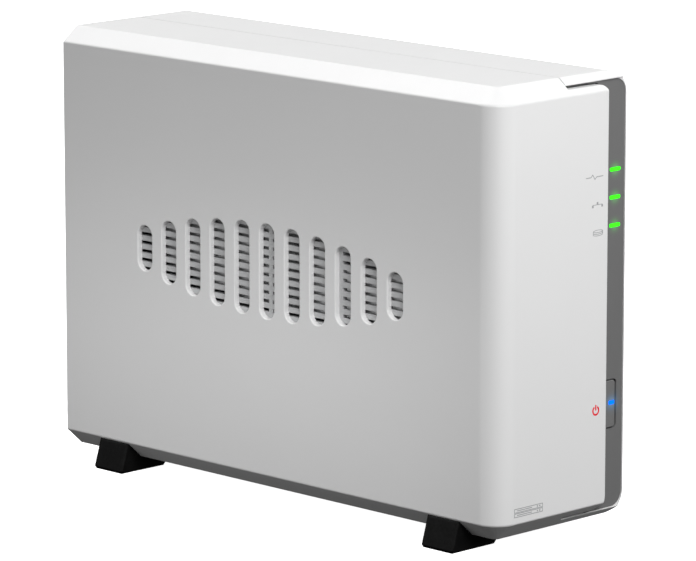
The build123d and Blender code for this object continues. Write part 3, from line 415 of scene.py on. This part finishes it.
def flat_ribbon():
    """Flat cable: side-by-side conductors under a clear film."""
    s = Shader("ribbon_film")
    wires = s.math("SINE", s.math("MULTIPLY", s.axis("Z"), 2 * math.pi / (1.0 * MM)))
    level = s.span(wires, -0.3, 0.3, 0.0, 1.0)
    s.link(s.blend(level, (0.62, 0.63, 0.66), (0.40, 0.41, 0.44)), s.main.inputs["Base Color"])
    s.link(s.bump(wires, 0.5, 0.05 * MM), s.main.inputs["Normal"])
    s.link(s.span(s.noise(600.0, 2.0), 0.3, 0.7, 0.25, 0.4), s.main.inputs["Roughness"])
    return s.material


def printed(name, colour):
    """Pad-printed ink, a little uneven."""
    s = Shader(name)
    level = s.span(s.noise(1500.0, 3.0), 0.35, 0.65, 0.0, 1.0)
    s.link(s.blend(level, tuple(c * 0.9 for c in colour), colour), s.main.inputs["Base Color"])
    s.link(s.span(level, 0.0, 1.0, 0.45, 0.55), s.main.inputs["Roughness"])
    return s.material


def label_paper():
    """A blank paper label with plain grey bands where print would be."""
    s = Shader("label_paper_print")
    fibres = s.span(s.noise(1400.0, 4.0, 0.7), 0.3, 0.7, 0.0, 1.0)
    paper = s.blend(fibres, (0.74, 0.74, 0.73), (0.82, 0.82, 0.81))
    z = s.axis("Z")
    rows = s.math("FRACT", s.math("DIVIDE", z, 5.2 * MM))
    band = s.math("LESS_THAN", rows, 0.30)
    broken = s.math("GREATER_THAN", s.noise(90.0, 0.0, 0.5, s.stretched(0.0, 1.0, 0.4)), 0.47)
    inked = s.blend(s.math("MULTIPLY", band, broken), paper, (0.25, 0.26, 0.28))
    s.link(inked, s.main.inputs["Base Color"])
    return s.set(Roughness=0.55).material


def wire_sleeve(name, colour):
    s = Shader(name)
    level = s.span(s.noise(1200.0, 3.0), 0.3, 0.7, 0.0, 1.0)
    s.link(s.blend(level, tuple(c * 0.8 for c in colour), colour), s.main.inputs["Base Color"])
    s.link(s.bump(level, 0.3, 0.02 * MM), s.main.inputs["Normal"])
    return s.set(Roughness=0.4).material


# ------------------------------------------------------------------- mesh helpers
def middle(node):
    low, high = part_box(node)
    return (Vector(low) + Vector(high)) / 2


def front_of(node):
    """The middle of a node's foremost face."""
    low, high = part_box(node)
    return Vector(((low[0] + high[0]) / 2, low[1], (low[2] + high[2]) / 2))


def finish_mesh(name, mesh_data, material, body):
    """Turn mesh data into a piece that rides a body."""
    mesh = bpy.data.meshes.new(name)
    mesh_data.normal_update()
    mesh_data.to_mesh(mesh)
    mesh_data.free()
    piece = bpy.data.objects.new(name, mesh)
    bpy.context.scene.collection.objects.link(piece)
    mesh.materials.append(material)
    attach(piece, body)
    return piece


def stroke(mesh_data, points, width, closed=False):
    """A flat mitred line through 2D points, as a strip of quads in the XZ plane."""
    count = len(points)
    sides = []
    for index, point in enumerate(points):
        here = Vector(point)
        before = Vector(points[index - 1]) if index or closed else here
        after = Vector(points[(index + 1) % count]) if index < count - 1 or closed else here
        inward = (here - before).normalized()
        outward = (after - here).normalized()
        run = (inward + outward).normalized()
        normal = Vector((-run.y, run.x))
        cosine = max(0.4, run.dot(outward if outward.length else inward))
        reach = width / 2 / cosine
        pair = (here + normal * reach, here - normal * reach)
        sides.append([mesh_data.verts.new((v.x, 0.0, v.y)) for v in pair])
    for index in range(count if closed else count - 1):
        a, b = sides[index], sides[(index + 1) % count]
        mesh_data.faces.new((a[0], a[1], b[1], b[0]))


def patch(mesh_data, points):
    """A flat filled outline in the XZ plane."""
    mesh_data.faces.new([mesh_data.verts.new((x, 0.0, z)) for x, z in points])


def arc(centre, radius, start, end, count, squeeze=1.0):
    """Points on an arc, angles in degrees."""
    step = (end - start) / (count - 1)
    angles = [math.radians(start + step * index) for index in range(count)]
    return [(centre[0] + radius * math.cos(a), centre[1] + squeeze * radius * math.sin(a)) for a in angles]


def print_mark(name, draw, place, material, body):
    """Draw a mark in millimetres and lay it as a thin film on the front of the cover."""
    data = bmesh.new()
    draw(data)
    made = bmesh.ops.extrude_face_region(data, geom=data.faces[:])
    new = [item for item in made["geom"] if isinstance(item, bmesh.types.BMVert)]
    bmesh.ops.translate(data, verts=new, vec=(0.0, -INK_FILM, 0.0))
    bmesh.ops.recalc_face_normals(data, faces=data.faces[:])
    shape = Matrix.Translation(place) @ Matrix.Scale(MM, 4)
    bmesh.ops.transform(data, matrix=shape, verts=data.verts[:])
    return finish_mesh(name, data, material, body)


def add_block(data, low, high):
    """A box between two corners, in metres."""
    low, high = Vector(low), Vector(high)
    made = bmesh.ops.create_cube(data, size=1.0)
    size = high - low
    shape = Matrix.Translation((low + high) / 2) @ Matrix.Diagonal((*size, 1.0))
    bmesh.ops.transform(data, matrix=shape, verts=made["verts"])


# --------------------------------------------------------------- marks on the front
# Each mark is drawn in millimetres round its own origin.
def status_mark(data):
    """A pulse line."""
    stroke(data, [(-9.0, 0), (-6.4, 0), (-5.5, 0.85), (-4.3, -0.85), (-3.4, 0), (0, 0)], BOLD_LINE)


def network_mark(data):
    """Three joined nodes."""
    half = 0.42
    for x, z in ((-5.3, -0.5), (-2.85, 0.55), (-0.4, -0.5)):
        left, right, low, high = x - half, x + half, z - half, z + half
        patch(data, [(left, low), (right, low), (right, high), (left, high)])
    stroke(data, [(-5.3, -0.08), (-5.3, 0.03), (-0.4, 0.03), (-0.4, -0.08)], FINE_LINE)


def disk_mark(data):
    """A flat can of two layers."""
    wide, flat, tall = 2.45, 0.18, 0.58
    stroke(data, arc((-wide, tall), wide, 0, 345, 24, flat), FINE_LINE, closed=True)
    for level in (0.0, -tall):
        stroke(data, arc((-wide, level), wide, 180, 360, 13, flat), FINE_LINE)
    for x in (-2 * wide, 0):
        stroke(data, [(x, tall), (x, -tall)], FINE_LINE)


def power_mark(data):
    """The generic power sign: an open ring and a bar."""
    stroke(data, arc((0, -0.2), 1.5, 122, 418, 30), POWER_LINE)
    stroke(data, [(0, -0.1), (0, 1.9)], POWER_LINE)


def storage_mark(data):
    """Two stacked bays, each with a lamp and a handle line."""
    wide, pitch, lamp = 14.4, 1.65, 0.32
    for level in (0.0, pitch):
        low, centre, high = level + 0.1, level + 0.72, level + 1.35
        stroke(data, [(0.0, low), (wide, low), (wide, high), (0.0, high)], BAY_LINE, closed=True)
        stroke(data, [(1.3, centre), (9.0, centre)], BOLD_LINE)
        for x in (wide - 2.6, wide - 1.4):
            patch(data, arc((x, centre), lamp, 0, 330, 12))


def make_marks():
    grey = printed("ink_grey", (0.36, 0.365, 0.375))
    red = printed("ink_red", (0.90, 0.012, 0.03))
    left, front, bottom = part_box("left_cover")[0]
    for light, draw in zip(LIGHTS, (status_mark, network_mark, disk_mark)):
        level = middle(light + "_light_pipe").z - MARKS_DROP * MM
        print_mark(light + "_mark", draw, Vector((MARKS_RIGHT * MM, front, level)), grey, "cover")
    level = middle("power_light_lens").z + POWER_LIFT * MM
    print_mark("power_mark", power_mark, Vector((POWER_X * MM, front, level)), red, "cover")
    across, up = STORAGE_IN
    corner = Vector((left + across * MM, front, bottom + up * MM))
    print_mark("storage_mark", storage_mark, corner, grey, "cover")


# ------------------------------------------------------------------ inner details
def make_drive_label():
    """Paper label on the disk's lid, clear of its pressed rings."""
    low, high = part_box("drive_lid")
    near, far = (low[1] + y * MM for y in LABEL_Y)
    bottom, top = low[2] + LABEL_BOTTOM * MM, high[2] - LABEL_TOP * MM
    data = bmesh.new()
    add_block(data, (low[0] - LABEL_THICK * MM, near, bottom), (low[0], far, top))
    finish_mesh("drive_label", data, label_paper(), "base")


def make_board_parts():
    """Rows of small chip resistors and capacitors with tinned ends on the main board."""
    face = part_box("main_board")[0][0]
    ceramic, tin = bmesh.new(), bmesh.new()
    for height, count in CHIP_ROWS.items():
        z = height * MM
        for index in range(count):
            y = (CHIP_START + CHIP_PITCH * index + CHIP_DRIFT * math.sin(index * 2.1 + height)) * MM
            if y > CHIP_LAST * MM:
                continue
            long = (CHIP_SHORT if (index * 7 + int(height)) % 3 else CHIP_LONG) * MM
            wide, thick, end = long * CHIP_WIDE, long * CHIP_THICK, long * CHIP_END
            add_block(ceramic, (face - thick, y + end, z), (face, y + long - end, z + wide))
            for start in (y, y + long - end):
                add_block(tin, (face - thick * TIN_OVER, start, z), (face, start + end, z + wide))
    body = moulded("chip_ceramic", (0.10, 0.075, 0.055), 0.5, 3000.0, 0.01, 0.00008, 0.3).material
    chips = finish_mesh("board_chip_parts", ceramic, body, "base")
    ends = finish_mesh("board_chip_ends", tin, sheet_metal("tinned_ends", (0.72, 0.72, 0.70), 0.3), "base")


def smooth_line(name, points, radius=0.0):
    """A mesh of a smooth line through a route's points: a bare line, or a round wire."""
    curve = bpy.data.curves.new(name, "CURVE")
    curve.dimensions = "3D"
    curve.bevel_depth = radius
    curve.bevel_resolution = 3
    curve.use_fill_caps = radius > 0
    spline = curve.splines.new("NURBS")
    spline.points.add(len(points) - 1)
    for slot, point in zip(spline.points, points):
        slot.co = (*point, 1.0)
    spline.order_u = 3
    spline.use_endpoint_u = True
    spline.resolution_u = 6
    holder = bpy.data.objects.new(name + "_curve", curve)
    mesh = bpy.data.meshes.new_from_object(holder)
    mesh.name = name
    bpy.data.objects.remove(holder)
    return mesh


def make_wire(name, points, radius, material, body):
    """A round wire along a route."""
    mesh = smooth_line(name, points, radius)
    for polygon in mesh.polygons:
        polygon.use_smooth = True
    mesh.materials.clear()
    mesh.materials.append(material)
    piece = bpy.data.objects.new(name, mesh)
    bpy.context.scene.collection.objects.link(piece)
    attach(piece, body)
    return piece


def make_fan_wires():
    """Three twisted wires in place of the plain lead between the fan and its plug."""
    low, high = (Vector(corner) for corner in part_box("fan_lead"))
    x = (low.x + high.x) / 2
    radius = (high.x - low.x) / 2
    top = high.z - radius
    near = low.y + radius
    route = [(x, high.y, top), (x, near, top), (x, near, low.z)]
    line = [vertex.co.copy() for vertex in smooth_line("fan_lead_route", route).vertices]
    side = Vector((1.0, 0.0, 0.0))
    colours = {"black": (0.02, 0.02, 0.02), "red": (0.55, 0.02, 0.02), "yellow": (0.75, 0.55, 0.03)}
    for index, (word, colour) in enumerate(colours.items()):
        points = []
        along = 0.0
        for step, centre in enumerate(line):
            before = line[max(step - 1, 0)]
            after = line[min(step + 1, len(line) - 1)]
            along += (centre - before).length
            across = (after - before).normalized().cross(side)
            turn = 2 * math.pi * (along / (WIRE_TWIST * MM) + index / len(colours))
            points.append(centre + (side * math.cos(turn) + across * math.sin(turn)) * WIRE_SPREAD * MM)
        material = wire_sleeve("wire_" + word, colour)
        make_wire("fan_wire_" + word, points, WIRE_RADIUS * MM, material, "base")
    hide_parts("fan_lead")


# ----------------------------------------------------------------- CAD finishes
def dress(material, *names):
    """Give CAD nodes a finish."""
    for name in names:
        slots = NODES[name].data.materials
        slots.clear()
        slots.append(material)


def dress_outside():
    painted_glows = [(front_of(light + "_light_pipe"), LIT_GREEN, GREEN_REACH) for light in LIGHTS]
    blue = front_of("power_light_lens")
    dress(case_white(), "left_cover", "right_shell")
    dress(louvre_white_in_painted_shade(), "left_vent_louvre", "right_vent_louvre")
    dress(strip_grey(painted_glows + [(blue, BLUE_PAINTED_HALO, BLUE_REACH)]), "front_bezel")
    dress(button_grey(blue), "power_button")
    reset = moulded("reset_plastic", (0.19, 0.19, 0.195), 0.45)
    dress(reset.material, "reset_button")
    for light in LIGHTS:
        name = light + "_light_pipe"
        dress(lit_window(name + "_lit", LIT_GREEN, front_of(name), 1.15), name)
    dress(lit_window("power_light_lit", LIT_BLUE, blue, 1.3), "power_light_lens")
    rear = moulded("rear_panel_plastic", (0.33, 0.335, 0.34), 0.5, 2000.0, 0.016, 0.0002, 0.03)
    dress(rear.material, "rear_panel")
    dress(rubber_black(), "foot_front_left", "foot_rear_left", "foot_front_right", "foot_rear_right")


def dress_sheets_and_screws():
    zinc = sheet_metal("zinc_sheet", (0.60, 0.61, 0.62), 0.34, spangle=True)
    dress(zinc, "drive_tray", "lock_plate")
    screws = sheet_metal("screw_plating", (0.56, 0.56, 0.57), 0.28, (1.0, 1.0, 1.0))
    dress(
        screws,
        "front_board_screws",
        "cover_screws",
        "fan_screws",
        "board_screws",
        "tray_screws",
        "drive_screws",
        "drive_lid_screws",
        "actuator_pivot",
    )
    tinplate = sheet_metal("port_tinplate", (0.68, 0.68, 0.67), 0.24, (1.0, 1.0, 10.0))
    dress(tinplate, "lan_jack", "usb_port_shells")
    dress(sheet_metal("contact_gold", (0.83, 0.60, 0.22), 0.22), "lan_contacts")


def dress_boards():
    mask, copper = (0.012, 0.095, 0.040), (0.030, 0.165, 0.062)
    dress(circuit_board("board_mask_side", mask, copper, ("Y", "Z")), "main_board")
    dress(circuit_board("board_mask_front", mask, copper, ("X", "Z")), "riser_board", "front_board")
    disk_board = circuit_board("disk_board_mask", (0.010, 0.035, 0.10), (0.025, 0.07, 0.17), ("Y", "Z"))
    dress(disk_board, "drive_board")
    epoxy = moulded("chip_epoxy", (0.022, 0.022, 0.023), 0.5, 3000.0, 0.01, 0.0002, 0.1)
    dress(epoxy.material, "processor", "memory_chips")
    black = moulded("connector_nylon", (0.03, 0.03, 0.031), 0.42, 2600.0, 0.012, 0.0002, 0.1)
    dress(
        black.material,
        "power_switch",
        "reset_switch",
        "usb_port_tongues",
        "power_inlet",
        "riser_socket",
        "drive_socket",
        "drive_connector",
    )
    cream = moulded("connector_cream", (0.70, 0.67, 0.58), 0.42, 2600.0, 0.012, 0.0002, 0.05)
    dress(cream.material, "ribbon_sockets", "fan_header")
    package = moulded("led_package", (0.80, 0.79, 0.72), 0.25, 2600.0, 0.008, 0.0001, 0.05)
    dress(package.material, "front_leds")
    fins = sheet_metal("heatsink_extrusion", (0.62, 0.63, 0.65), 0.38, (1.0, 12.0, 1.0))
    dress(fins, "processor_heatsink")
    dress(sheet_metal("capacitor_sleeve", (0.50, 0.51, 0.54), 0.35, (8.0, 1.0, 1.0)), "board_capacitors")
    dress(sheet_metal("coin_cell_steel", (0.68, 0.68, 0.66), 0.28, (1.0, 1.0, 1.0)), "clock_battery")


def dress_disk():
    dress(cast_metal(), "drive_casting")
    dress(sheet_metal("lid_stamping", (0.62, 0.625, 0.63), 0.30, (1.0, 1.0, 16.0)), "drive_lid")
    dress(turned_metal("platter_film", (0.86, 0.87, 0.89), 0.07, middle("drive_platters")), "drive_platters")
    turning = turned_metal("hub_turning", (0.70, 0.71, 0.72), 0.24, middle("drive_hub"))
    dress(turning, "drive_hub", "spindle_motor")
    dress(sheet_metal("arm_aluminium", (0.70, 0.71, 0.73), 0.26, (1.0, 10.0, 1.0)), "drive_actuator")
    dress(sheet_metal("magnet_nickel", (0.66, 0.64, 0.60), 0.16, (1.0, 1.0, 1.0)), "drive_magnets")


def dress_fan_and_ribbon():
    dress(winding_copper(), "fan_stator")
    fan = moulded("fan_plastic", (0.026, 0.026, 0.028), 0.40, 2200.0, 0.014, 0.0002, 0.1)
    dress(fan.material, "fan_frame", "fan_rotor")
    dress(flat_ribbon(), "front_ribbon")
    dress(wire_sleeve("lead_sleeve", (0.02, 0.02, 0.02)), "fan_lead")


# ------------------------------------------------------------------------- studio
def make_floor():
    """A plain pale floor; it sends no light back up, so the underside stays in shade."""
    data = bmesh.new()
    bmesh.ops.create_grid(data, x_segments=8, y_segments=8, size=FLOOR_SIZE / 2)
    mesh = bpy.data.meshes.new("floor")
    data.to_mesh(mesh)
    data.free()
    floor = bpy.data.objects.new("floor", mesh)
    floor.location.z = CAD_LOW[2] - FLOOR_DROP
    bpy.context.scene.collection.objects.link(floor)
    s = Shader("floor_paper")
    tint = s.span(s.noise(3.0, 2.0), 0.3, 0.7, 0.0, 1.0)
    s.link(s.blend(tint, (0.80, 0.80, 0.80), (0.82, 0.82, 0.82)), s.main.inputs["Base Color"])
    s.set(Roughness=0.9, Specular_IOR_Level=0.1, Emission_Strength=FLOOR_GLOW)
    s.main.inputs["Emission Color"].default_value = (1.0, 1.0, 1.0, 1.0)
    mesh.materials.append(s.material)
    floor.visible_diffuse = False
    floor.visible_glossy = False


def make_sky():
    """Even pale light from above the horizon, almost none from below."""
    world = bpy.data.worlds.new("studio")
    world.use_nodes = True
    bpy.context.scene.world = world
    nodes, links = world.node_tree.nodes, world.node_tree.links
    back = nodes["Background"]
    place = nodes.new("ShaderNodeTexCoord")
    split = nodes.new("ShaderNodeSeparateXYZ")
    ramp = nodes.new("ShaderNodeMapRange")
    ramp.inputs["From Min"].default_value = SKY_FROM
    ramp.inputs["From Max"].default_value = SKY_TO
    ramp.inputs["To Min"].default_value = SKY_UNDER
    ramp.inputs["To Max"].default_value = SKY_STRENGTH
    links.new(place.outputs["Generated"], split.inputs["Vector"])
    links.new(split.outputs["Z"], ramp.inputs["Value"])
    links.new(ramp.outputs["Result"], back.inputs["Strength"])
    back.inputs["Color"].default_value = (1.0, 1.0, 1.0, 1.0)


def softbox(name, place, aim, wide, tall, power):
    """A rectangular area light, itself out of the camera's sight; metres and watts."""
    lamp = bpy.data.lights.new(name, "AREA")
    lamp.shape = "RECTANGLE"
    lamp.size = wide
    lamp.size_y = tall
    lamp.energy = power
    holder = bpy.data.objects.new(name, lamp)
    holder.location = place
    holder.rotation_mode = "QUATERNION"
    holder.rotation_quaternion = (Vector(aim) - Vector(place)).to_track_quat("-Z", "Y")
    holder.visible_camera = False
    bpy.context.scene.collection.objects.link(holder)


def make_camera():
    data = bpy.data.cameras.new("camera")
    data.lens = LENS_MM
    data.sensor_width = SENSOR_MM
    data.sensor_fit = "HORIZONTAL"
    data.clip_start, data.clip_end = 0.05, 60.0
    camera = bpy.data.objects.new("camera", data)
    a, e = math.radians(AZIMUTH), math.radians(ELEVATION)
    back = Vector((math.sin(a) * math.cos(e), -math.cos(a) * math.cos(e), math.sin(e)))
    aim = (Vector(CAD_LOW) + Vector(CAD_HIGH)) / 2 + AIM_SHIFT
    camera.location = aim + back * DISTANCE
    camera.rotation_mode = "QUATERNION"
    camera.rotation_quaternion = (-back).to_track_quat("-Z", "Y")
    bpy.context.scene.collection.objects.link(camera)
    bpy.context.scene.camera = camera


make_camera()
make_floor()
make_sky()
# The key stands high in front, a little to the left. A narrow one brightens the foot of the left wall,
# two small ones in front the panel and the dark strip, and two large ones stand behind and to the right.
softbox("key", (-0.68, -1.21, 1.19), (0.0, 0.0, 0.08), 0.6, 0.6, 16.7)
softbox("side_strip", (-0.13, 0.03, 0.05), (0.0, 0.03, 0.05), 0.24, 0.05, 0.041)
softbox("front_fill_right", (0.20, -0.42, 0.20), (0.0, -0.112, 0.13), 0.22, 0.22, 0.42)
softbox("front_fill_left", (-0.13, -0.42, 0.21), (-0.02, -0.112, 0.12), 0.16, 0.16, 0.28)
softbox("rear_top", (-0.10, 0.70, 1.20), (0.0, 0.0, 0.08), 0.9, 0.9, 9.3)
softbox("right_fill", (1.30, 0.10, 0.60), (0.0, 0.0, 0.08), 0.8, 0.8, 5.4)
bpy.context.scene.view_settings.view_transform = "Standard"
dress_outside()
dress_sheets_and_screws()
dress_boards()
dress_disk()
dress_fan_and_ribbon()
make_marks()
make_drive_label()
make_board_parts()
make_fan_wires()
